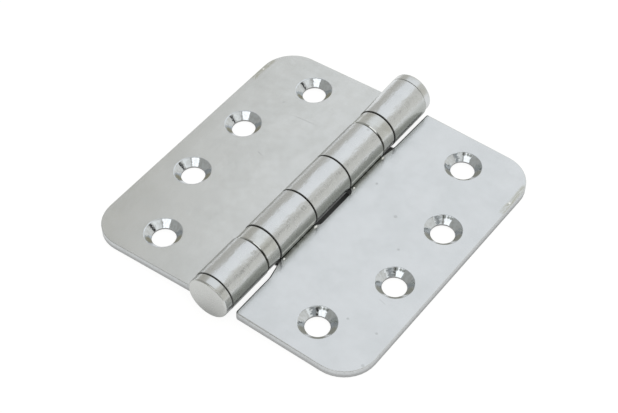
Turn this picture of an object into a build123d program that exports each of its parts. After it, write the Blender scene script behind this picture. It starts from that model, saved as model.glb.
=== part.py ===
"""Ball bearing butt hinge, lying open on its back.

The pin runs along Y and the leaves spread along X. The origin is on the surface
under the middle of the barrel. Lengths are in millimetres and angles in degrees.
"""

import os
from math import asin, atan2, cos, degrees, hypot, isclose, pi, radians, sin, sqrt, tan

from build123d import *

# Leaves
leaf_length = 89.0  # along the pin
leaf_reach = 44.5  # pin axis to outer edge
sheet = 2.5  # thickness of the sheet that both leaves are rolled from
barrel_r = 6.25  # outside of a rolled knuckle
leaf_offset = 2.2  # pin axis above the countersunk face
bend_r = 4.0  # reverse bend between plate and knuckle, at mid sheet
seam = 0.3  # opening between the rolled lip and the plate
outer_corner_r = 10.0
inner_corner_r = 1.0
notch_clearance = 0.75  # barrel to the plate edge that faces the other leaf's knuckles
notch_corner_r = 1.0

# Screw holes
end_hole_margin = 10.5  # from the leaf's ends
end_hole_inset = 18.6  # from the leaf's outer edge
middle_hole_spacing = 22.8
middle_hole_inset = 10.2  # from the leaf's outer edge
hole_r = 3.4
countersink_r = 5.3
countersink_angle = 90.0

# Pin and end tips
pin_clearance = 0.04
tip_inset = 0.05  # tip's rim inside the barrel's surface
tip_length = 3.0
tip_chamfer = 0.6
tip_gap = 0.15  # shadow gap between the tip's disc and the knuckle
spigot_depth = 4.0
spigot_clearance = 0.02

# Bearings
knuckle_gap = 0.25  # between knuckles that have no bearing
bearing_space = 5.7  # between the knuckles on either side of a bearing
cup_inset = 0.1  # cup inside the barrel's surface
cup_wall = 0.5
cup_rim_gap = 0.4  # cup rim to the knuckle that turns over it
bearing_bore_clearance = 0.1
cover_clearance = 0.1
ball_play = 0.17  # ball to pin and to cup wall
ball_running_gap = 0.03  # ball to its tracks
ball_spacing_gap = 0.1  # ball to ball

# Sizes that follow from these
bore_r = barrel_r - sheet
pin_r = bore_r - pin_clearance
plate_top = -leaf_offset
plate_bottom = plate_top - sheet
notch_reach = barrel_r + notch_clearance
knuckle_length = (leaf_length - 2 * bearing_space - 2 * knuckle_gap) / 5
bearing_bore_r = pin_r + bearing_bore_clearance
cup_r = barrel_r - cup_inset
cup_inner_r = cup_r - cup_wall
ball_r = (cup_inner_r - pin_r) / 2 - ball_play
pitch_r = (cup_inner_r + pin_r) / 2
ball_count = int(2 * pi * pitch_r / (2 * ball_r + ball_spacing_gap))
track_thickness = bearing_space / 2 - ball_r - ball_running_gap

# Each leaf droops until its outer lower edge and the barrel rest on one surface
droop = degrees(asin(barrel_r / hypot(leaf_reach, plate_bottom)) + atan2(plate_bottom, leaf_reach))

on_base = (Align.CENTER, Align.CENTER, Align.MIN)
under_top = (Align.CENTER, Align.CENTER, Align.MAX)


def on_pin(solid, y):
    """Turn a solid made along Z onto the pin axis, its origin at y."""
    return Pos(0, y, barrel_r) * Rot(-90, 0, 0) * solid


def knuckle_spans():
    """The five knuckles as (start, end) along Y, front to rear."""
    spans = []
    start = -leaf_length / 2
    for gap in (bearing_space, knuckle_gap, knuckle_gap, bearing_space, 0):
        spans.append((start, start + knuckle_length))
        start += knuckle_length + gap
    return spans


def rolled_section():
    """Section of the rolled sheet, pin axis at the origin and plate to the right."""
    bend_x, bend_z = bend_centre()
    turn = degrees(atan2(bend_z, bend_x))
    lip = plate_top + seam
    lip_outer = degrees(asin(lip / barrel_r))
    lip_inner = degrees(asin(lip / bore_r))
    with BuildSketch(Plane.XZ) as section:
        with BuildLine():
            Line((leaf_reach, plate_bottom), (bend_x, plate_bottom))
            CenterArc((bend_x, bend_z), bend_r - sheet / 2, 90, 90 + turn)
            CenterArc((0, 0), barrel_r, turn, lip_outer - turn - 360)
            Line(on_circle(barrel_r, lip_outer), on_circle(bore_r, lip_inner))
            CenterArc((0, 0), bore_r, turn, lip_inner - turn - 360)
            CenterArc((bend_x, bend_z), bend_r + sheet / 2, 90, 90 + turn)
            Line((bend_x, plate_top), (leaf_reach, plate_top))
            Line((leaf_reach, plate_top), (leaf_reach, plate_bottom))
        make_face()
    return section.sketch


def bend_centre():
    """Centre of the reverse bend, which is tangent to the plate and to the knuckle."""
    z = plate_top - sheet / 2 - bend_r
    return sqrt((barrel_r - sheet / 2 + bend_r) ** 2 - z**2), z


def on_circle(radius, angle):
    """Point of a circle about the origin."""
    return radius * cos(radians(angle)), radius * sin(radians(angle))


def notch(start, end):
    """Cutter that clears the other leaf's knuckles from start to end along Y."""
    width = notch_reach + 2 * barrel_r
    cutter = extrude(RectangleRounded(width, end - start, notch_corner_r), 2 * barrel_r, both=True)
    return Pos(notch_reach - width / 2, (start + end) / 2, 0) * cutter


def screw_hole():
    """Cutter for a countersunk hole, the countersunk face at z = 0."""
    depth = (countersink_r - hole_r) / tan(radians(countersink_angle / 2))
    return Cone(hole_r, countersink_r, depth, align=under_top) + Cylinder(hole_r, 3 * sheet)


def hole_places():
    """Centres of a leaf's screw holes."""
    end_x = leaf_reach - end_hole_inset
    middle_x = leaf_reach - middle_hole_inset
    for side in (-1, 1):
        yield Pos(end_x, side * (leaf_length / 2 - end_hole_margin), plate_top)
        yield Pos(middle_x, side * middle_hole_spacing / 2, plate_top)


def leaf(notches):
    """A leaf that reaches along +X from the pin axis, before it droops."""
    plate = extrude(rolled_section(), leaf_length / 2, both=True)
    plate = fillet(plate.edges().filter_by(Axis.Z).group_by(Axis.X)[-1], outer_corner_r)
    for start, end in notches:
        plate -= notch(start, end)
    inner_corners = [edge for edge in plate.edges().filter_by(Axis.Z) if is_inner_corner(edge.center())]
    if inner_corners:
        plate = fillet(inner_corners, inner_corner_r)
    for place in hole_places():
        plate -= place * screw_hole()
    return plate


def is_inner_corner(point):
    """Whether a point lies where a notch meets the leaf's end."""
    return isclose(point.X, notch_reach) and isclose(abs(point.Y), leaf_length / 2)


def end_tip():
    """Tip with a chamfered disc above z = 0 and a spigot down into the bore."""
    disc = Pos(0, 0, tip_gap) * Cylinder(barrel_r - tip_inset, tip_length - tip_gap, align=on_base)
    disc = chamfer(disc.edges().sort_by(Axis.Z)[-1], tip_chamfer)
    spigot = Cylinder(bore_r - spigot_clearance, spigot_depth + tip_gap, align=under_top)
    return disc + Pos(0, 0, tip_gap) * spigot


def ring(outer_r, height):
    """Plain bearing ring standing on z = 0."""
    return Cylinder(outer_r, height, align=on_base) - Cylinder(bearing_bore_r, height, align=on_base)


def bearing_cup():
    """Cup whose floor is the lower ball track, standing on z = 0."""
    height = bearing_space - cup_rim_gap
    return ring(cup_r, height) - Pos(0, 0, track_thickness) * Cylinder(cup_inner_r, height, align=on_base)


def ball():
    """Ball with flat facets, a cube with its edges cut back until all corners lie on one sphere."""
    facet = 2 * ball_r / sqrt(5 + 2 * sqrt(2))
    width = facet * (1 + sqrt(2))
    return chamfer(Box(width, width, width).edges(), facet / sqrt(2))


def bearing(name, base):
    """The pieces of one bearing whose cup stands on the knuckle end at y = base."""
    cover = ring(cup_inner_r - cover_clearance, track_thickness)
    pieces = {
        f"{name}_bearing_cup": on_pin(bearing_cup(), base),
        f"{name}_cover_race": on_pin(cover, base + bearing_space - track_thickness),
    }
    for number, place in enumerate(PolarLocations(pitch_r, ball_count), start=1):
        pieces[f"{name}_ball_{number:02}"] = on_pin(place * ball(), base + bearing_space / 2)
    return pieces


def hinge():
    """Every piece of the hinge by name, in place."""
    first, second, third, fourth, fifth = knuckle_spans()
    left_notches = [(first[1], third[0]), (third[1], fifth[0])]
    right_notches = [(-leaf_length, second[0]), (second[1], fourth[0]), (fourth[1], leaf_length)]
    drooped = Pos(0, 0, barrel_r) * Rot(0, droop, 0)
    rear_tip = on_pin(end_tip(), leaf_length / 2)
    pieces = {
        "left_leaf": mirror(drooped * leaf(left_notches), about=Plane.YZ),
        "right_leaf": drooped * leaf(right_notches),
        "hinge_pin": on_pin(Cylinder(pin_r, leaf_length - 2 * spigot_depth), 0),
        "front_tip": mirror(rear_tip, about=Plane.XZ),
        "rear_tip": rear_tip,
    }
    pieces.update(bearing("front", first[1]))
    pieces.update(bearing("rear", fourth[1]))
    return pieces


os.makedirs("parts", exist_ok=True)
for node, solid in hinge().items():
    export_step(solid, f"parts/{node}.step")
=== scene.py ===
# %% [markdown]
# # Ball bearing butt hinge
#
# The hinge lies open on its back, with its countersunk faces up. Two leaves of zinc-plated sheet are
# rolled round one pin, and two small ball bearings sit between their knuckles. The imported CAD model
# is the frame that everything here is built around, so it is loaded first and its box is kept.

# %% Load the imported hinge
from math import asin, atan2, cos, pi, radians, sin, sqrt, tan, tau

import bmesh
import bpy
from mathutils import Matrix, Vector


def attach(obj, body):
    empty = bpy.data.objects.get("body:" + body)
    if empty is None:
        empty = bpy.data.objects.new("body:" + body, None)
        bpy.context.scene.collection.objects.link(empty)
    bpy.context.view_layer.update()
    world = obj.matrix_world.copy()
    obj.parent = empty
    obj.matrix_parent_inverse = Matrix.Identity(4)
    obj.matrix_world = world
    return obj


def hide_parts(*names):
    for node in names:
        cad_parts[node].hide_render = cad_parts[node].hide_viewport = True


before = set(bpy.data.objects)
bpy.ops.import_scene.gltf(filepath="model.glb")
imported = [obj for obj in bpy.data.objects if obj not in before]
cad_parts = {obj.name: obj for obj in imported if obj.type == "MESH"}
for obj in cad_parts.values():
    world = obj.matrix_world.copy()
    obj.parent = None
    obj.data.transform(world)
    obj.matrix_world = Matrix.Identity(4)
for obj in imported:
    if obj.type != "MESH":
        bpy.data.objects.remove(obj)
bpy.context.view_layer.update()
mm = 0.001

# %% [markdown]
# ## Camera
#
# The photograph looks down at the hinge from the front right, nearly fifty degrees above the floor,
# through a long lens that keeps the far edges almost parallel to the near ones. A camera could be
# set by eye, but here its place and lens follow from the corners, the screw holes and the barrel's
# edges in the picture, so that everything else can be judged against it.

# %% Place the camera
camera = bpy.data.objects.new("camera", bpy.data.cameras.new("camera"))
bpy.context.scene.collection.objects.link(camera)
camera.data.sensor_width = 36
camera.data.lens = 95.73
camera.data.clip_start = 0.01
round_the_hinge, down, lean = radians(37.464), radians(47.954), radians(-1.058)
camera.matrix_world = (
    Matrix.Translation((0.18253, -0.24124, 0.33541))
    @ Matrix.Rotation(round_the_hinge, 4, "Z")
    @ Matrix.Rotation(pi / 2 - down, 4, "X")
    @ Matrix.Rotation(lean, 4, "Z")
)
bpy.context.scene.camera = camera
bpy.context.scene.view_settings.view_transform = "Standard"
print("camera at", [round(c, 3) for c in camera.matrix_world.translation])

# %% [markdown]
# ## Node helpers
#
# Every finish below is a small tree of shader nodes. It could be clicked together in the shader
# editor, but a script repeats it for each piece. One helper adds a node, sets its sockets and links
# whatever is another node's output. Two more do sums and carry a value from one range into another,
# so that a finish reads as a list of its layers.


# %% Add and wire nodes
def add_node(tree, kind, inputs=None, **settings):
    node = tree.nodes.new(kind)
    for name, value in settings.items():
        setattr(node, name, value)
    for name, value in (inputs or {}).items():
        if isinstance(value, bpy.types.NodeSocket):
            tree.links.new(value, node.inputs[name])
        else:
            node.inputs[name].default_value = value
    return node


def empty_tree(owner):
    owner.use_nodes = True
    owner.node_tree.nodes.clear()
    return owner.node_tree


def reckon(tree, operation, first, second=0.0, third=0.0):
    sum_node = add_node(tree, "ShaderNodeMath", {0: first, 1: second, 2: third}, operation=operation)
    return sum_node.outputs[0]


def between(tree, value, low, high, at_low=0.0, at_high=1.0, blend="SMOOTHSTEP"):
    """A value carried from low..high to at_low..at_high, and held beyond both ends."""
    ranges = {"From Min": low, "From Max": high, "To Min": at_low, "To Max": at_high}
    return add_node(tree, "ShaderNodeMapRange", {"Value": value, **ranges}, interpolation_type=blend).outputs[0]


# %% [markdown]
# ## Piece helpers
#
# Each mesh is drawn in a sketch first and then becomes a piece of the scene. Smooth shading alone
# would smear the light round real corners. So corners above 35 degrees stay sharp, and elsewhere the
# large flat faces decide the shading of the narrow rims beside them.


# %% Turn a sketch into a piece
def piece_from(sketch, name):
    for face in sketch.faces:
        face.smooth = True
    mesh = bpy.data.meshes.new(name)
    sketch.to_mesh(mesh)
    sketch.free()
    piece = bpy.data.objects.new(name, mesh)
    bpy.context.scene.collection.objects.link(piece)
    print(name, len(mesh.polygons), "faces")
    return piece


def shade_evenly(piece):
    piece.data.set_sharp_from_angle(angle=radians(35))
    even = piece.modifiers.new("even_shading", "WEIGHTED_NORMAL")
    even.keep_sharp = True
    even.weight = 100


# %% [markdown]
# ## Floor
#
# The picture has a plain white ground. A floor that only glows would be as white, but it would take no
# shadow. So a wide grey disc takes the shadow of the hinge as an ordinary matt surface, and what the
# lens and the metal see of it is lifted to white by a glow that only camera, mirror and see-through
# rays meet. That glow carries painted shade and painted light. It fades by an occlusion node wherever
# the hinge closes the floor in. Mirror rays meet that painted shade everywhere, and the lens only in
# the narrow gaps between the bearings, which stay dark in the picture. Away from the barrel, under the
# leaves and so in the screw holes, and in the gaps at the barrel's ends, the lens sees full white over
# the shadow, a painted light. Mirror rays see the floor lifted a little everywhere, and more beside the
# barrel at its ends, also a painted light.

# %% Lay the floor
sketch = bmesh.new()
bmesh.ops.create_circle(sketch, cap_ends=True, radius=3.0, segments=96)
floor = piece_from(sketch, "floor")
floor.location.z = -0.02 * mm

# %% Whiten what the lens and the metal see of it
paper = bpy.data.materials.new("white_paper")
tree = empty_tree(paper)
ray = add_node(tree, "ShaderNodeLightPath").outputs
openness = add_node(tree, "ShaderNodeAmbientOcclusion", {"Distance": 20 * mm}, samples=12).outputs["AO"]
place = add_node(tree, "ShaderNodeTexCoord").outputs["Object"]
place = add_node(tree, "ShaderNodeSeparateXYZ", {0: place}).outputs


def clear_of(axis, middle, inner, outer):
    """Nought near a line across the floor and one beyond it, with its reach in millimetres."""
    away = reckon(tree, "ABSOLUTE", reckon(tree, "SUBTRACT", place[axis], middle * mm))
    return between(tree, away, inner * mm, outer * mm, blend="LINEAR")


# Painted light: away from the barrel and past the bearings the lens sees full white over the shadow.
under_leaves = clear_of("X", 0.0, 9.0, 12.0)
past_bearings = clear_of("Y", 3.8, 26.9, 27.4)
past_barrel = clear_of("X", 0.0, 4.7, 5.5)
# Painted shade: the glow fades with an occlusion node where the hinge closes the floor in.
to_lens = between(tree, openness, 0.25, 0.6, blend="LINEAR")
to_lens = reckon(tree, "MAXIMUM", to_lens, reckon(tree, "MAXIMUM", under_leaves, past_bearings))
to_lens = reckon(tree, "MULTIPLY", to_lens, ray["Is Camera Ray"])
# Painted light in mirror rays: the floor is lifted a little everywhere, and more beside the barrel at its ends.
painted_lift_at_ends = reckon(tree, "MULTIPLY", past_bearings, past_barrel)
painted_lift_at_ends = reckon(tree, "MULTIPLY_ADD", painted_lift_at_ends, 0.26, 0.2)
# Painted shade in mirror rays, from the same occlusion node.
to_metal = between(tree, openness, 0.2, 0.9, blend="LINEAR")
to_metal = reckon(tree, "MAXIMUM", to_metal, painted_lift_at_ends)
mirrored = reckon(tree, "ADD", ray["Is Glossy Ray"], ray["Is Transmission Ray"])
glow = reckon(tree, "MULTIPLY", reckon(tree, "MULTIPLY_ADD", to_metal, mirrored, to_lens), 0.9)
matt = add_node(tree, "ShaderNodeBsdfDiffuse", {"Color": (0.20, 0.20, 0.20, 1)})
lift = add_node(tree, "ShaderNodeEmission", {"Color": (1, 1, 1, 1), "Strength": glow})
both = add_node(tree, "ShaderNodeAddShader", {0: matt.outputs[0], 1: lift.outputs[0]})
add_node(tree, "ShaderNodeOutputMaterial", {"Surface": both.outputs[0]})
floor.data.materials.append(paper)
print("floor finish", len(tree.nodes), "nodes")

# %% [markdown]
# ## Studio room
#
# Metal shows what stands round it. A panorama could give it something to mirror, but a few plain
# shades are easier to steer. The room is pale behind the hinge and dimmer on the camera's side, and the
# dark edge of a screen on the right draws a thin shade along the barrel.

# %% Paint the room
world = bpy.data.worlds.new("studio")
bpy.context.scene.world = world
tree = empty_tree(world)
direction = add_node(tree, "ShaderNodeTexCoord").outputs["Generated"]
to_back = {0: direction, 1: (0.5, 0.87, 0.0)}
depth = add_node(tree, "ShaderNodeVectorMath", to_back, operation="DOT_PRODUCT").outputs["Value"]
walls = add_node(tree, "ShaderNodeValToRGB", {0: reckon(tree, "MULTIPLY_ADD", depth, 0.5, 0.5)})
shades = walls.color_ramp.elements
shades[0].position = 0.0
shades[0].color = (0.42, 0.42, 0.39, 1)
shades[1].position = 0.95
shades[1].color = (0.80, 0.785, 0.735, 1)
for position, level in ((0.3, 0.42), (0.57, 0.63)):
    shades.new(position).color = (level, level * 0.975, level * 0.91, 1)
aim = add_node(tree, "ShaderNodeSeparateXYZ", {0: direction}).outputs
off_level = reckon(tree, "ABSOLUTE", reckon(tree, "SUBTRACT", aim["Z"], 0.56))
screen = between(tree, off_level, 0.038, 0.048, 1.0, 0.0, "LINEAR")
for axis, low, high in (("X", 0.40, 0.50), ("Y", 0.56, 0.48)):
    screen = reckon(tree, "MULTIPLY", screen, between(tree, aim[axis], low, high, blend="LINEAR"))
level = reckon(tree, "MULTIPLY_ADD", screen, -0.95, 1.0)
backdrop = add_node(tree, "ShaderNodeBackground", {"Color": walls.outputs[0], "Strength": level})
add_node(tree, "ShaderNodeOutputWorld", {"Surface": backdrop.outputs[0]})
print("room shades", [round(shade.position, 2) for shade in shades])

# %% [markdown]
# ## Lamps
#
# The leaves mirror a wide soft box above and behind the hinge, whose left edge falls across the left
# leaf. The polished countersinks mirror a second box left of the camera and a weaker one to its right.
# Point lamps would leave hard sparks in the metal, so each lamp is a broad rectangle.


# %% Hang the soft boxes
def soft_box(name, toward, width, height, brightness, tint):
    """A rectangular lamp that faces the hinge from a direction, one metre away."""
    lamp = bpy.data.lights.new(name, "AREA")
    lamp.shape = "RECTANGLE"
    lamp.size = width
    lamp.size_y = height
    lamp.energy = brightness * pi * width * height
    lamp.color = tint
    box = bpy.data.objects.new(name, lamp)
    bpy.context.scene.collection.objects.link(box)
    toward = Vector(toward).normalized()
    box.matrix_world = Matrix.Translation(toward) @ toward.to_track_quat("Z", "Y").to_matrix().to_4x4()


soft_box("overhead_box", (-0.085, 0.48, 0.87), 1.03, 0.95, 0.43, (0.80, 0.865, 1.0))
soft_box("camera_side_box", (0.118, -0.746, 0.656), 0.65, 0.5, 1.0, (1.0, 1.0, 1.0))
soft_box("right_box", (0.75, -0.24, 0.62), 0.75, 0.45, 0.30, (0.97, 1.0, 0.99))

# %% [markdown]
# ## Sizes of the rolled sheet
#
# A leaf is a flat blank until its tabs are rolled round the pin. These are its sizes in millimetres,
# with the pin's axis at zero. Between plate and knuckle the sheet dips under the pin in a short reverse
# bend, and then it curls all the way round to a lip. The bend could be drawn as a ready section, but
# written as a path it tells where each point of the flat blank ends up.

# %% Write down the sheet
sheet = 2.5
barrel_r = 6.25
plate_top = -2.2
bend_r = 4.0
leaf_reach = 44.5
half_length = 44.5
lip_height = -1.94
droop = radians(1.9998)
mid_plate = plate_top - sheet / 2
curl_r = barrel_r - sheet / 2
bend_z = mid_plate - bend_r
bend_x = sqrt((curl_r + bend_r) ** 2 - bend_z**2)
curl_start = atan2(bend_z, bend_x)
bend_run = bend_r * (pi / 2 + curl_start)


def rolled(inward, above):
    """Where a point ends up, from its run along mid sheet past the bend's start and its height over it."""
    if inward <= 0:
        return bend_x - inward, mid_plate + above
    if inward <= bend_run:
        turn = pi / 2 + inward / bend_r
        return bend_x + (bend_r + above) * cos(turn), bend_z + (bend_r + above) * sin(turn)
    turn = curl_start - (inward - bend_run) / curl_r
    return (curl_r - above) * cos(turn), (curl_r - above) * sin(turn)


def lip_run(above):
    """Run at which the curl meets its lip, which is cut level and not square to the sheet."""
    end = asin(lip_height / (curl_r - above)) - tau
    return bend_run + curl_r * (curl_start - end)


tab_reach = bend_x - lip_run(0)
print("blank reaches", round(tab_reach, 2), "mm past the axis before it is rolled")

# %% [markdown]
# ## Blank outline
#
# The press punches the blank with round outer corners and with notches that clear the other leaf's
# knuckles. The end notches of the right leaf run in at a slant, and the first knuckle stops a little
# short of the leaf's edge. A curve with a bevel could draw this too. A list of corners with a radius
# each, turned into short straight steps, shows every size at a glance.


# %% Round the corners of an outline
def rounded_outline(corners, step=radians(9)):
    """Points of a closed outline whose corners (x, y, radius) are rounded."""
    points = []
    for index, (x, y, radius) in enumerate(corners):
        here = Vector((x, y))
        before = (Vector(corners[index - 1][:2]) - here).normalized()
        after = (Vector(corners[(index + 1) % len(corners)][:2]) - here).normalized()
        half = before.angle(after) / 2
        centre = here + (before + after).normalized() * (radius / sin(half))
        start = here + before * (radius / tan(half)) - centre
        sweep = (pi - 2 * half) * (1 if before.x * after.y - before.y * after.x < 0 else -1)
        count = max(2, round(abs(sweep) / step))
        for k in range(count + 1):
            points.append(centre + Matrix.Rotation(sweep * k / count, 2) @ start)
    return points


# %% Draw the outline of each blank
front_knuckle_end = -43.9
outer_corner_r = 10
notch_reach = 7.0
notch_corner_r = 1.5
tab_corner_r = 0.45


def rear_notch(knuckle):
    return [(6.8, half_length, 0.5), (6.6, knuckle + 5.6, 6), (6.1, knuckle, 0.8)]


def middle_notch(behind, ahead):
    return [(notch_reach, behind, notch_corner_r), (notch_reach, ahead, notch_corner_r)]


def front_notch(knuckle):
    return [(5.9, knuckle, 0.6), (7.15, knuckle - 6.6, 5), (7.15, -half_length, 1.0)]


def front_step(knuckle):
    return [(6.6, knuckle, 0.3), (7.6, -half_length, 0.3)]


def blank_corners(tabs):
    """Corners of a blank from the outer edge round; tabs are (rear end, front end) along the pin."""
    corners = [(leaf_reach, -half_length, outer_corner_r), (leaf_reach, half_length, outer_corner_r)]
    edge = half_length
    for rear, front in tabs:
        if rear < edge:
            corners += rear_notch(rear) if edge == half_length else middle_notch(edge, rear)
        corners += [(tab_reach, rear, tab_corner_r), (tab_reach, front, tab_corner_r)]
        edge = front
    return corners + (front_step(edge) if edge == front_knuckle_end else front_notch(edge))


left_tabs = [(half_length, 29.08), (7.71, -7.71), (-29.08, front_knuckle_end)]
right_tabs = [(23.38, 7.96), (-7.96, -23.38)]
for name, tabs in (("left", left_tabs), ("right", right_tabs)):
    print(name, "blank has", len(rounded_outline(blank_corners(tabs))), "points")

# %% [markdown]
# ## Sheared rims
#
# A punch rounds the edge where it enters the sheet, and it draws the right leaf's end notches down
# furthest. A bevel modifier would round every rim alike. Rings that step from the flat face round to
# the wall can have a larger radius in those notches.

# %% Ring the blank with rims
rim_r = 0.2
drawn_rim_r = 0.45
face_finish, edge_finish, cut_finish = 0, 1, 2


def inset(points):
    """The outline moved 1 mm towards the sheet's material, which lies left of the way round."""
    moved = []
    for index, point in enumerate(points):
        along = (points[(index + 1) % len(points)] - points[index - 1]).normalized()
        moved.append(point + Vector((-along.y, along.x)))
    return moved


def in_end_notch(point):
    return 6.5 < point.x < 8.5 and abs(point.y) > 24


def rim_rings(sketch, outline, side, drawn_down):
    """Rings of a rounded rim, from the flat face to the wall."""
    radii = [drawn_rim_r if drawn_down and in_end_notch(point) else rim_r for point in outline]
    inner_points = inset(outline)
    rings = []
    for turn in (0, pi / 8, pi / 4, 3 * pi / 8, pi / 2):
        ring = []
        for point, inner, radius in zip(outline, inner_points, radii):
            x, y = point.lerp(inner, radius * (1 - sin(turn)))
            ring.append(sketch.verts.new((x, y, side * (sheet / 2 - radius * (1 - cos(turn))))))
        rings.append(ring)
    return rings


def join_rings(sketch, rings, finish):
    for lower, upper in zip(rings, rings[1:]):
        for k in range(len(lower)):
            nxt = (k + 1) % len(lower)
            face = sketch.faces.new((lower[k], lower[nxt], upper[nxt], upper[k]))
            face.material_index = finish


# %% [markdown]
# ## Countersunk holes
#
# The screw holes are countersunk, and the cutter leaves fine rings on the cone. A boolean cut would
# make the cones as well, but with ragged triangles round them. Here each hole wall is a stack of rings,
# and the flat faces are filled between the outline and the holes.

# %% Cut the holes and skin the faces
hole_places = [(25.9, -34.0), (25.9, 34.0), (34.3, -11.4), (34.3, 11.4)]
hole_r = 3.4
countersink_r = 5.3
hole_steps = 72
cutter_rings = 24
ring_depth = 0.004


def countersunk_profile():
    """Radius and height down one hole wall: rounded rim, cone with cutter rings, straight bore."""
    profile = [(countersink_r + 0.1, sheet / 2), (countersink_r + 0.02, sheet / 2 - 0.03)]
    for k in range(1, cutter_rings + 1):
        down = (countersink_r - hole_r) * k / cutter_rings
        profile.append((countersink_r - down + ring_depth * (k % 2), sheet / 2 - down))
    profile += [(hole_r, -sheet / 2 + 0.12), (hole_r + 0.12, -sheet / 2)]
    return profile


def hole_rings(sketch, x, y):
    rings = []
    for radius, z in countersunk_profile():
        turns = [tau * k / hole_steps for k in range(hole_steps)]
        rings.append([sketch.verts.new((x + radius * cos(turn), y + radius * sin(turn), z)) for turn in turns])
    join_rings(sketch, rings, cut_finish)
    return rings


def skin(sketch, rings, upward):
    """Fill the flat face between an outline and its holes."""
    edges = []
    for ring in rings:
        for k in range(len(ring)):
            edges.append(sketch.edges.get((ring[k], ring[(k + 1) % len(ring)])))
    facing = (0, 0, 1 if upward else -1)
    made = bmesh.ops.triangle_fill(sketch, use_beauty=True, edges=edges, normal=facing)
    for face in made["geom"]:
        if isinstance(face, bmesh.types.BMFace):
            face.material_index = face_finish


print("hole wall has", len(countersunk_profile()), "rings")

# %% [markdown]
# ## Rolling the tabs
#
# Only now is the blank rolled: it is cut into narrow strips, and every point is carried along the bend
# and the curl. A bend modifier could do this too, but carrying the points keeps the thickness exact. It
# also leaves the flat place of each point in an attribute called blank, so a finish can follow the
# sheet's grain round the knuckle. Curls spring back a little when the press lets go. The first knuckle
# stands slightly open, and the fifth opens more and more towards the rear.

# %% Roll a blank
curl_steps = 110
lip_blend = 3


def slice_tabs(sketch):
    """Cut the blank into strips along the pin, from just outside the bend to the lip."""
    cuts = [bend_x + 0.5]
    cuts += [bend_x + (tab_reach - bend_x) * k / curl_steps for k in range(curl_steps)]
    for x in cuts:
        everything = sketch.verts[:] + sketch.edges[:] + sketch.faces[:]
        bmesh.ops.bisect_plane(sketch, geom=everything, plane_co=(x, 0, 0), plane_no=(1, 0, 0))


def sprung(along):
    """How much wider a knuckle is, and how far it stands off the pin's line, at a place along the pin."""
    if along < -29:
        return 0.1, 0.05
    flare = max(0.0, (along - 29) / 15.5)
    return 0.2 * flare, 0.18 * flare


def drooped(across, along, up, side):
    """Place in the scene of a point beside the pin, once the leaf leans down to the floor."""
    spread = side * (across * cos(droop) + up * sin(droop))
    return Vector((spread, along, up * cos(droop) - across * sin(droop) + barrel_r)) * mm


def roll(sketch, side):
    """Carry every point of a flat blank to its place on the rolled leaf."""
    flat = sketch.verts.layers.float_vector.new("blank")
    full = lip_run(0)
    for vert in sketch.verts:
        vert[flat] = vert.co * mm
        x, y, z = vert.co
        inward = bend_x - x
        past = inward - (full - lip_blend)
        if past > 0:
            inward = full - lip_blend + past * (lip_run(z) - full + lip_blend) / lip_blend
        across, up = rolled(inward, z)
        wider, off_line = sprung(y)
        share = min(1.0, max(0.0, inward / bend_run))
        across = across * (1 + share * wider / barrel_r) + share * off_line
        up = up * (1 + share * wider / barrel_r) + share * wider
        vert.co = drooped(across, y, up, side)


# %% [markdown]
# ## The two leaves
#
# Each leaf goes through the press in the same order: rims, holes, faces, strips, roll. The left leaf is
# the mirror image of a right one, so its faces are turned over after rolling.


# %% Press both leaves
def build_leaf(name, tabs, side, body):
    sketch = bmesh.new()
    outline = rounded_outline(blank_corners(tabs))
    top_rim = rim_rings(sketch, outline, 1, tabs[0][0] < half_length)
    bottom_rim = rim_rings(sketch, outline, -1, False)
    join_rings(sketch, bottom_rim + top_rim[::-1], edge_finish)
    tops, bottoms = [top_rim[0]], [bottom_rim[0]]
    for x, y in hole_places:
        rings = hole_rings(sketch, x, y)
        tops.append(rings[0])
        bottoms.append(rings[-1])
    skin(sketch, tops, True)
    skin(sketch, bottoms, False)
    slice_tabs(sketch)
    bmesh.ops.recalc_face_normals(sketch, faces=sketch.faces)
    roll(sketch, side)
    if side < 0:
        bmesh.ops.reverse_faces(sketch, faces=sketch.faces)
    leaf = piece_from(sketch, name)
    shade_evenly(leaf)
    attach(leaf, body)
    return leaf


left_leaf = build_leaf("left_leaf_sheet", left_tabs, -1, "three_knuckle_leaf")
right_leaf = build_leaf("right_leaf_sheet", right_tabs, 1, "two_knuckle_leaf")
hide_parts("left_leaf")
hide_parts("right_leaf")

# %% [markdown]
# ## Burrs at the seams
#
# Where a tab leaves the plate, the press pinches up a small bright burr at each end of the seam. Sculpting
# could raise them from the sheet itself. A squashed ball half sunk in the plate looks the same at this
# size and keeps the sheet clean. All four are one piece that goes with the right leaf.

# %% Raise the burrs
burr_places = [(6.45, -8.75, 0.75, 0.5), (6.5, -22.75, 0.45, 0.4), (6.6, 8.75, 0.5, 0.4), (6.45, 22.7, 0.55, 0.4)]
burr_height = 0.35
sketch = bmesh.new()
for across, along, length, width in burr_places:
    middle = Matrix.Translation(drooped(across, along, plate_top, 1))
    squash = Matrix.Diagonal((width, length, burr_height, 1))
    bmesh.ops.create_icosphere(sketch, subdivisions=3, radius=mm, matrix=middle @ squash)
burrs = piece_from(sketch, "seam_burrs")
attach(burrs, "two_knuckle_leaf")

# %% [markdown]
# ## Turned pieces
#
# The end tips and the bearing cups come off a lathe. A screw modifier could spin a profile too, but
# turning it here eases each corner by a small radius, as a lathe hand breaks it. A profile is a closed
# list of radius, distance along the pin and easing.

# %% Turn a profile
turned_steps = 96


def eased(profile):
    corners = [(radius, along, max(ease, 0.01)) for radius, along, ease in profile]
    return rounded_outline(corners, step=radians(18))


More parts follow.
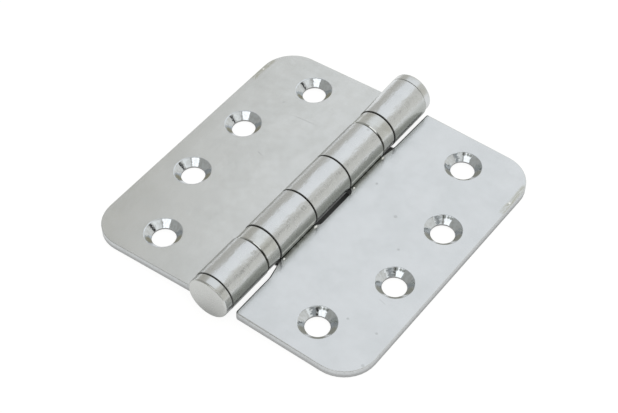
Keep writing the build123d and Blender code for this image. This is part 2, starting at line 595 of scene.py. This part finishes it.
def turn_piece(name, profile, base, way, body, shift=(0.0, 0.0)):
    """Turn a profile about the pin, moved right and up by shift; it runs to the rear of base if way is 1."""
    sketch = bmesh.new()
    rings = []
    for radius, along in eased(profile):
        ring = []
        for k in range(turned_steps):
            turn = tau * k / turned_steps
            x = shift[0] + radius * cos(turn)
            z = shift[1] + barrel_r + radius * sin(turn)
            ring.append(sketch.verts.new(Vector((x, base + way * along, z)) * mm))
        rings.append(ring)
    join_rings(sketch, rings + rings[:1], 0)
    bmesh.ops.remove_doubles(sketch, verts=sketch.verts, dist=1e-6)
    bmesh.ops.dissolve_degenerate(sketch, edges=sketch.edges, dist=1e-7)
    bmesh.ops.recalc_face_normals(sketch, faces=sketch.faces)
    piece = piece_from(sketch, name)
    shade_evenly(piece)
    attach(piece, body)
    return piece


# %% [markdown]
# ## End tips
#
# A tip is a thick button with a soft outer corner and a spigot that goes into the end knuckle. Each tip
# follows its sprung knuckle, so the rear one sits a little to the left and high. The spigot is slim
# enough to allow that. A cylinder with a bevel would do for the button, but one profile gives the
# spigot too, closed by running in to the axis.

# %% Turn the end tips
tip_profile = [
    (0.001, -4.0, 0),
    (3.25, -4.0, 0.3),
    (3.25, 0.15, 0.05),
    (6.28, 0.15, 0.2),
    (6.25, 2.94, 0.6),
    (3.8, 3.0, 2.0),
    (0.001, 3.0, 0),
]
front_tip = turn_piece("front_tip_button", tip_profile, front_knuckle_end, -1, "three_knuckle_leaf", (-0.02, 0.08))
rear_tip = turn_piece("rear_tip_button", tip_profile, half_length, 1, "three_knuckle_leaf", (-0.4, 0.18))
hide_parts("front_tip")
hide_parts("rear_tip")

# %% [markdown]
# ## Bearing cups
#
# A bearing cup is a short can with a thick floor. It stands on the knuckle in front of it, with a narrow
# groove and a sloping shoulder at its foot. Its rim stops just short of the knuckle that turns over
# it, which leaves the dark line in the picture. A thickened cylinder would have one wall all round, so
# the cup is turned from its full profile, inside and out.

# %% Turn the bearing cups
cup_profile = [
    (3.81, 0, 0.1),
    (5.2, 0, 0.05),
    (5.2, 0.22, 0.05),
    (5.58, 0.22, 0.04),
    (6.08, 0.72, 0.1),
    (6.08, 5.46, 0.15),
    (5.65, 5.46, 0.1),
    (5.65, 2.02, 0.1),
    (3.81, 2.02, 0.1),
]
first_knuckle_rear = left_tabs[-1][0]
fourth_knuckle_rear = right_tabs[0][0]
front_cup = turn_piece("front_cup_shell", cup_profile, first_knuckle_rear, 1, "three_knuckle_leaf")
rear_cup = turn_piece("rear_cup_shell", cup_profile, fourth_knuckle_rear, 1, "two_knuckle_leaf")
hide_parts("front_bearing_cup")
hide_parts("rear_bearing_cup")

# %% [markdown]
# ## Balls
#
# Seventeen balls run round the pin in each bearing. Each is a divided icosahedron, which spreads its
# faces more evenly than a globe of rings and poles does. They are one piece, because they orbit together.

# %% Make the ball sets
ball_r = 0.8
pitch_r = 4.68
ball_count = 17
bearing_space = 5.7


def ball_set(name, base, body, nodes):
    """A row of balls in the middle of the bearing whose cup stands at base."""
    sketch = bmesh.new()
    for number in range(ball_count):
        turn = tau * number / ball_count
        centre = Vector((pitch_r * cos(turn), base + bearing_space / 2, barrel_r - pitch_r * sin(turn)))
        place = Matrix.Translation(centre * mm)
        bmesh.ops.create_icosphere(sketch, subdivisions=3, radius=ball_r * mm, matrix=place)
    balls = piece_from(sketch, name)
    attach(balls, body)
    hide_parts(*nodes)
    return balls


front_nodes = [f"front_ball_{n:02}" for n in range(1, ball_count + 1)]
rear_nodes = [f"rear_ball_{n:02}" for n in range(1, ball_count + 1)]
front_balls = ball_set("front_ball_row", first_knuckle_rear, "front_balls", front_nodes)
rear_balls = ball_set("rear_ball_row", fourth_knuckle_rear, "rear_balls", rear_nodes)


# %% [markdown]
# ## Layers of a finish
#
# A worn metal finish is a stack of simple layers: soft clouds, a fine grain, small round marks and
# short scratches. They could be painted on an image. Here each layer is a helper that works out a mask
# or a pattern from nought to one from a position, on the flat blank for the sheet, so that it follows
# the sheet round the knuckle and stays put from every side.


# %% Patterns and fades
def pattern(tree, where, size, detail=2.0, stretch=(1, 1, 1)):
    """Noise whose features are about size millimetres across."""
    scale = Vector(stretch) / (size * mm)
    placed = add_node(tree, "ShaderNodeMapping", {"Vector": where, "Scale": scale}, vector_type="POINT")
    noise = {"Vector": placed.outputs[0], "Scale": 1.0, "Detail": detail}
    return add_node(tree, "ShaderNodeTexNoise", noise).outputs["Fac"]


def fade(tree, length, low, high, at_low=0.0, at_high=1.0):
    """A soft step from low to high, which are in millimetres."""
    return between(tree, length, low * mm, high * mm, at_low, at_high)


def within(tree, length, rise, fall):
    """One between two places and nought outside; rise and fall are (start, end) in millimetres."""
    return reckon(tree, "MULTIPLY", fade(tree, length, *rise), fade(tree, length, *fall, 1.0, 0.0))


def off(tree, length, place):
    """Distance from a place given in millimetres, to either side."""
    return reckon(tree, "ABSOLUTE", reckon(tree, "SUBTRACT", length, place * mm))


def split(tree, where):
    return add_node(tree, "ShaderNodeSeparateXYZ", {0: where}).outputs


# %% Marks and mixes
def spot(tree, where, centre, reach):
    """A round mark that is full at its centre and gone at its reach, both in millimetres."""
    gap = add_node(tree, "ShaderNodeVectorMath", {0: where, 1: Vector(centre) * mm}, operation="DISTANCE")
    return fade(tree, gap.outputs["Value"], reach * 0.45, reach, 1.0, 0.0)


def stroke(tree, where, start, end, width):
    """A straight scratch that tapers off at both ends."""
    along = Vector(end) - Vector(start)
    run = along.length
    turn = (0, 0, atan2(along.y, along.x))
    frame_of_stroke = {"Vector": where, "Location": Vector((*start, 0)) * mm, "Rotation": turn}
    part = split(tree, add_node(tree, "ShaderNodeMapping", frame_of_stroke, vector_type="TEXTURE").outputs[0])
    across = fade(tree, reckon(tree, "ABSOLUTE", part["Y"]), 0.0, width, 1.0, 0.0)
    return reckon(tree, "MULTIPLY", across, within(tree, part["X"], (0.0, run * 0.3), (run * 0.6, run)))


def most(tree, masks):
    total = masks[0]
    for mask in masks[1:]:
        total = reckon(tree, "MAXIMUM", total, mask)
    return total


def mixed(tree, mask, below, above):
    node = add_node(tree, "ShaderNodeMix", {"Factor": mask}, data_type="RGBA")
    for socket, colour in ((6, below), (7, above)):
        if isinstance(colour, bpy.types.NodeSocket):
            tree.links.new(colour, node.inputs[socket])
        else:
            node.inputs[socket].default_value = (*colour, 1)
    return node.outputs[2]


# %% Start and close a finish
def flat_position(tree):
    return add_node(tree, "ShaderNodeAttribute", attribute_name="blank").outputs["Vector"]


def object_position(tree):
    return add_node(tree, "ShaderNodeTexCoord").outputs["Object"]


def close_metal(tree, colour, rough, height, strength, depth, metallic=1.0):
    """Join colour, roughness and a relief, whose depth is in millimetres, in one metal surface."""
    relief = add_node(tree, "ShaderNodeBump", {"Height": height, "Strength": strength, "Distance": depth * mm})
    sockets = {"Base Color": colour, "Metallic": metallic, "Roughness": rough, "Normal": relief.outputs[0]}
    surface = add_node(tree, "ShaderNodeBsdfPrincipled", sockets)
    add_node(tree, "ShaderNodeOutputMaterial", {"Surface": surface.outputs[0]})
    return surface


# %% [markdown]
# ## Wear, painted shade and painted highlight on the zinc
#
# Bright zinc doesn't stay even. It wears off in patches along the outer edge, and oil and dust gather
# where a lip closes on its plate, with painted shade added there. The barrel's flanks are painted
# darker as painted shade, and a painted highlight line runs along the knuckles of the right leaf.
# Vertex paint could hold these, but it is only as fine as the mesh, so each is a mask made of fades.


# %% Mask the wear, the painted shade and the painted highlight
def edge_wear(tree, where, part, stain):
    """Patches along the outer edge, from one place along the pin to another."""
    start, end = stain
    worn = within(tree, part["Y"], (start, start + 2), (end - 2, end))
    worn = reckon(tree, "MULTIPLY", worn, fade(tree, part["X"], 42.5, 43.5))
    patches = pattern(tree, where, 1.0, 3.0, (2.0, 0.5, 1.0))
    return reckon(tree, "MULTIPLY", worn, between(tree, patches, 0.35, 0.6, 0.25, 1.0))


def seam_dirt_and_shade(tree, where, part, tabs):
    """Oil and dust in the bend of each tab, darkened further as painted shade beside the barrel."""
    bends = [within(tree, part["Y"], (front - 0.2, front + 0.8), (rear - 0.8, rear + 0.2)) for rear, front in tabs]
    film_and_shade = reckon(tree, "MULTIPLY", most(tree, bends), fade(tree, part["X"], 6.1, 7.8, 1.0, 0.0))
    film_and_shade = reckon(tree, "MULTIPLY", film_and_shade, fade(tree, part["X"], -6, 5.2))
    patches = pattern(tree, where, 1.6, 3.0)
    return reckon(tree, "MULTIPLY", film_and_shade, between(tree, patches, 0.25, 0.6, 0.45, 1.0))


def barrel_shade_and_highlight(tree, stand):
    """Painted shade on both flanks of the barrel, and a painted highlight line along them."""
    left = reckon(tree, "SUBTRACT", 0.45 * mm, stand["X"])
    out = reckon(tree, "MAXIMUM", stand["X"], left)
    # Painted shade: the barrel's sides are darkened, by their place in the scene, where they mirror dark
    # surroundings.
    painted_flank_shade = reckon(tree, "MULTIPLY", fade(tree, out, 5.2, 6.15), fade(tree, stand["Z"], 4.0, 4.6))
    # Painted highlight: a bright line at the height of the pin's axis, where the lip's edge would catch the light.
    line = fade(tree, off(tree, stand["Z"], 6.1), 0.15, 0.35, 1.0, 0.0)
    return painted_flank_shade, reckon(tree, "MULTIPLY", line, within(tree, out, (5.9, 6.1), (6.3, 6.4)))


# %% [markdown]
# ## Zinc plate
#
# Bright zinc over rolled sheet is a pale, slightly cool metal. On the plates it is smooth and satin
# with faint clouds. Round the knuckles the sheet was stretched, which leaves short ripples that break
# up the light along the barrel. They are too fine to model, so they are a relief in the finish. Each
# leaf has its own specks and scratches, and the left one is tinted a little warmer, a painted shade
# for the warmer light it mirrors.


# %% Mix the zinc finish
def zinc_relief(tree, where, curl, specks):
    """Height of the surface: ripples on the curl, a trace of them on the plate, grain and pitted specks."""
    ripple = pattern(tree, where, 0.5, 2.0, (1.0, 0.45, 1.0))
    waves = pattern(tree, where, 2.2, 2.0, (1.0, 0.4, 1.0))
    grain = pattern(tree, where, 0.3, 2.0)
    swell = reckon(tree, "MULTIPLY_ADD", waves, 2.0, reckon(tree, "MULTIPLY", ripple, 0.42))
    swell = reckon(tree, "MULTIPLY", swell, reckon(tree, "MULTIPLY_ADD", curl, 0.94, 0.06))
    height = reckon(tree, "MULTIPLY_ADD", grain, 0.15, swell)
    return reckon(tree, "MULTIPLY_ADD", specks, -0.3, height)


def outer_skin(x, y):
    """Point on the side of the sheet that shows: the countersunk face, or the outside of the curl."""
    return x, y, sheet / 2 if x > 6 else -sheet / 2


def zinc_finish(name, painted_warm_shade, specks, scratches, stain, tabs, polished, ridge_highlight):
    material = bpy.data.materials.new(name)
    tree = empty_tree(material)
    where = flat_position(tree)
    part = split(tree, where)
    curl = fade(tree, part["X"], 4.5, 7.5, 1.0, 0.0)
    specks = most(tree, [spot(tree, where, outer_skin(x, y), reach) for x, y, reach in specks])
    marks = most(tree, [specks] + [stroke(tree, where, *scratch) for scratch in scratches])
    worn = edge_wear(tree, where, part, stain)
    film_and_shade = seam_dirt_and_shade(tree, where, part, tabs)
    painted_flank_shade, line = barrel_shade_and_highlight(tree, split(tree, object_position(tree)))
    polish_and_highlight = [spot(tree, where, outer_skin(x, y), reach) for x, y, reach in polished]
    polish_and_highlight = most(tree, [reckon(tree, "MULTIPLY", line, ridge_highlight)] + polish_and_highlight)
    # Painted shade: the left leaf's plate is tinted warmer for the warmer light it mirrors.
    warm = Vector((0.3, 0.5, 1.0)) * painted_warm_shade
    clouds = between(tree, pattern(tree, where, 11, 4.0), 0.35, 0.65)
    colour = mixed(tree, clouds, Vector((0.625, 0.648, 0.660)) - warm, Vector((0.655, 0.677, 0.690)) - warm)
    for mask, share, tone in (
        (curl, 1.0, (0.640, 0.662, 0.675)),
        # Painted shade on the barrel's flanks.
        (painted_flank_shade, 0.5, (0.21, 0.225, 0.18)),
        # Oil and dust in each tab's bend, with painted shade.
        (film_and_shade, 0.8, (0.17, 0.175, 0.14)),
        (worn, 0.8, (0.46, 0.46, 0.39)),
        (marks, 0.25, (0.24, 0.25, 0.24)),
        # Polished spots, and the painted highlight line on the right leaf's knuckles.
        (polish_and_highlight, 1.0, (0.93, 0.93, 0.90)),
    ):
        colour = mixed(tree, reckon(tree, "MULTIPLY", mask, share), colour, tone)
    satin = between(tree, pattern(tree, where, 2.4, 3.0), 0.3, 0.7, 0.20, 0.27)
    satin = reckon(tree, "MULTIPLY_ADD", curl, 0.03, satin)
    satin = reckon(tree, "MULTIPLY_ADD", worn, 0.15, satin)
    close_metal(tree, colour, satin, zinc_relief(tree, where, curl, specks), 1.0, 0.1)
    print(name, len(tree.nodes), "nodes")
    return material


# %% Plate the two leaves
left_zinc = zinc_finish(
    "left_zinc_plate",
    painted_warm_shade=0.036,
    specks=[(30.2, 25.0, 0.3), (-13.1, -30.6, 0.6), (-13.3, -31.5, 0.5), (-12.4, 5.5, 0.5), (-12.6, 4.6, 0.45)],
    scratches=[((25.1, 22.1), (15.7, 22.6), 0.25), ((24.2, 4.9), (21.4, 4.1), 0.25)],
    stain=(27, 39),
    tabs=left_tabs,
    polished=[(43.7, 33.0, 0.4)],
    ridge_highlight=0.0,
)
right_zinc = zinc_finish(
    "right_zinc_plate",
    painted_warm_shade=0.0,
    specks=[
        (10.6, 14.0, 0.5), (21.5, 7.3, 0.65), (28.7, -1.7, 0.5), (31.4, -28.5, 0.5), (40.0, -27.9, 0.5),
        (43.0, -38.2, 0.6), (-19.0, -10.1, 0.5), (-19.1, -11.0, 0.45), (-18.8, -16.1, 0.45),
        (-18.9, -17.0, 0.4), (-17.0, 22.5, 0.45),
    ],
    scratches=[((37.0, -19.0), (33.5, -18.2), 0.2)],
    stain=(25, 39),
    tabs=right_tabs,
    polished=[(43.5, 30.2, 0.4)],
    ridge_highlight=0.9,
)

# %% [markdown]
# ## Sheared edges
#
# A punch leaves two bands on an edge: a burnished upper one and a rougher torn one below it. The tear
# wanders, so two flat strips of colour would look drawn. Here noise moves the line between the
# bands up and down. The lower band is also darker as painted shade for the shadowed floor it mirrors.
# Deep in the notches, beside the barrel, the edge is painted dark, a painted shade and reflection of
# the barrel's dark underside.


# %% Mix the sheared finish
def sheared_finish(name):
    material = bpy.data.materials.new(name)
    tree = empty_tree(material)
    where = flat_position(tree)
    part = split(tree, where)
    tear_line = reckon(tree, "MULTIPLY_ADD", pattern(tree, where, 2.5, 3.0), 0.9 * mm, -0.45 * mm)
    burnished = fade(tree, reckon(tree, "SUBTRACT", part["Z"], tear_line), -0.1, 0.15)
    drag = pattern(tree, where, 0.5, 3.0, (1.0, 1.0, 0.25))
    # The torn lower band is darker, partly as painted shade for the shadowed floor it mirrors.
    colour = mixed(tree, burnished, (0.54, 0.55, 0.555), (0.64, 0.66, 0.67))
    colour = mixed(tree, between(tree, drag, 0.45, 0.75, 0.0, 0.35), colour, (0.40, 0.41, 0.40))
    # Painted shade: deep in the notches, beside the barrel, the edge is painted nearly black.
    colour = mixed(tree, fade(tree, part["X"], 7.45, 7.85, 0.85, 0.0), colour, (0.06, 0.06, 0.055))
    rough = between(tree, burnished, 0.0, 1.0, 0.42, 0.36)
    height = reckon(tree, "MULTIPLY", drag, between(tree, burnished, 0.0, 1.0, 1.0, 0.35))
    close_metal(tree, colour, rough, height, 0.5, 0.08)
    print(name, len(tree.nodes), "nodes")
    return material


sheared_edge = sheared_finish("sheared_edge")

# %% [markdown]
# ## Countersinks
#
# The countersinks are cut after punching, so they are brighter than the plate and carry a little chatter
# across their rings. The same side of every hole has a dull, dark film that isn't metal, a painted
# shade where the cone mirrors dark surroundings; it takes the shine out of the surface and not only
# out of its colour. The right leaf's holes have small dark burn marks from the cutter.


# %% Mix the countersink finish
def in_every_hole(tree, where, marks):
    """The same marks in each countersink: turn about the hole, distance from its axis, height and reach."""
    masks = []
    for x, y in hole_places:
        for turn, away, height, reach in marks:
            place = (x + away * cos(radians(turn)), y + away * sin(radians(turn)), height)
            masks.append(spot(tree, where, place, reach))
    return most(tree, masks)


def countersink_finish(name, film_and_shade, shade_film_colour, burns=()):
    material = bpy.data.materials.new(name)
    tree = empty_tree(material)
    where = flat_position(tree)
    bore = fade(tree, split(tree, where)["Z"], -0.70, -0.60, 1.0, 0.0)
    streaks = pattern(tree, where, 0.8, 2.0, (1.0, 1.0, 0.2))
    scores = pattern(tree, where, 0.5, 3.0, (0.15, 0.15, 1.0))
    colour = mixed(tree, between(tree, streaks, 0.35, 0.7), (0.715, 0.76, 0.81), (0.625, 0.655, 0.685))
    # Painted shade: a dark, dull film on the same side of every cone.
    dull = in_every_hole(tree, where, film_and_shade)
    colour = mixed(tree, dull, colour, shade_film_colour)
    if burns:
        burnt = reckon(tree, "MULTIPLY", in_every_hole(tree, where, burns), 0.85)
        colour = mixed(tree, burnt, colour, (0.12, 0.13, 0.12))
    colour = mixed(tree, bore, colour, (0.46, 0.46, 0.46))
    polish = between(tree, streaks, 0.3, 0.7, 0.05, 0.11)
    rough = reckon(tree, "MAXIMUM", polish, reckon(tree, "MULTIPLY", bore, 0.6))
    height = reckon(tree, "MULTIPLY_ADD", streaks, 0.8, reckon(tree, "MULTIPLY", scores, 0.4))
    shine = reckon(tree, "SUBTRACT", 1.0, dull)
    surface = close_metal(tree, colour, rough, height, 0.35, 0.1, metallic=shine)
    surface.inputs["Specular IOR Level"].default_value = 0.0
    print(name, len(tree.nodes), "nodes")
    return material


# %% Finish the leaves
# Painted shade: where the dark, dull film sits in each countersink.
left_shade_film = [(170, 4.4, 0.35, 2.3), (-60, 4.2, 0.2, 1.7)]
left_cut = countersink_finish("left_countersink", left_shade_film, (0.36, 0.355, 0.29))
right_shade_film = [(-115, 4.35, 0.3, 2.3), (-53, 4.35, 0.3, 3.0), (5, 4.35, 0.3, 2.2)]
right_burns = [(119, 4.85, 0.85, 0.7), (106, 4.85, 0.85, 0.55), (97, 4.85, 0.85, 0.6)]
right_cut = countersink_finish("right_countersink", right_shade_film, (0.37, 0.38, 0.35), right_burns)
for leaf, face, cut in ((left_leaf, left_zinc, left_cut), (right_leaf, right_zinc, right_cut)):
    for finish in (face, sheared_edge, cut):
        leaf.data.materials.append(finish)
print("leaf finishes", [m.name for m in left_leaf.data.materials])

# %% [markdown]
# ## Turned steel
#
# Tips and cups are plated after turning. Their finish is a little darker and softer than the sheet,
# with fine rings round the pin's axis and small stains. The tips' faces are duller and take the darker
# tone, a painted shade for the shadowed floor they mirror. The foot of each cup is smooth, and its
# groove is darkened on the right side. The pin, races and balls inside are ground bearing steel with a
# trace of grease. One recipe with a few settings serves them all, and the burrs too.


# %% Mix the turned finish
def turned_finish(name, pale, dull, smooth, coarse, ring_size, cup_feet=()):
    material = bpy.data.materials.new(name)
    tree = empty_tree(material)
    where = object_position(tree)
    part = split(tree, where)
    rings = pattern(tree, where, ring_size, 2.0, (0.02, 1.0, 0.02))
    clouds = pattern(tree, where, 2.2, 4.0)
    grain = pattern(tree, where, 0.25, 2.0)
    # Painted shade: the tip's outer face takes the darker tone for the shadowed floor it mirrors.
    dull_shaded_tip_face = fade(tree, off(tree, part["Y"], 0.3), 46.8, 47.0)
    colour = mixed(tree, between(tree, clouds, 0.4, 0.72), pale, dull)
    colour = mixed(tree, dull_shaded_tip_face, colour, tuple(0.99 * c for c in dull))
    rough = between(tree, clouds, 0.3, 0.7, smooth, coarse)
    rough = reckon(tree, "MULTIPLY_ADD", dull_shaded_tip_face, 0.06, rough)
    for foot in cup_feet:
        away = off(tree, part["Y"], foot)
        rough = reckon(tree, "MULTIPLY", rough, fade(tree, away, 0.25, 0.35, 0.3, 1.0))
        # The groove at the cup's foot is darkened on its right side.
        dark_right_groove = reckon(tree, "MULTIPLY", fade(tree, away, 0.15, 0.25, 1.0, 0.0), fade(tree, part["X"], 3.2, 4.2))
        colour = mixed(tree, dark_right_groove, colour, (0.10, 0.10, 0.09))
    height = reckon(tree, "MULTIPLY_ADD", grain, 0.35, reckon(tree, "MULTIPLY", rings, 0.5))
    close_metal(tree, colour, rough, height, 0.2, 0.04)
    print(name, len(tree.nodes), "nodes")
    return material


# %% Finish tips, cups, burrs, balls and what stays as packed
tip_steel = turned_finish("tip_steel", (0.61, 0.63, 0.635), (0.565, 0.575, 0.56), 0.20, 0.28, 0.3)
cup_steel = turned_finish("cup_steel", (0.61, 0.63, 0.625), (0.53, 0.54, 0.52), 0.22, 0.30, 0.25, (-28.6, 23.86))
burr_zinc = turned_finish("burr_zinc", (0.88, 0.89, 0.88), (0.80, 0.80, 0.77), 0.12, 0.2, 0.3)
ground_steel = turned_finish("ground_steel", (0.58, 0.58, 0.57), (0.42, 0.40, 0.35), 0.15, 0.3, 0.4)
for piece, finish in (
    (front_tip, tip_steel),
    (rear_tip, tip_steel),
    (front_cup, cup_steel),
    (rear_cup, cup_steel),
    (burrs, burr_zinc),
    (front_balls, ground_steel),
    (rear_balls, ground_steel),
):
    piece.data.materials.append(finish)
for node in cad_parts.values():
    node.data.materials.clear()
    node.data.materials.append(ground_steel)
print("materials", len(bpy.data.materials))
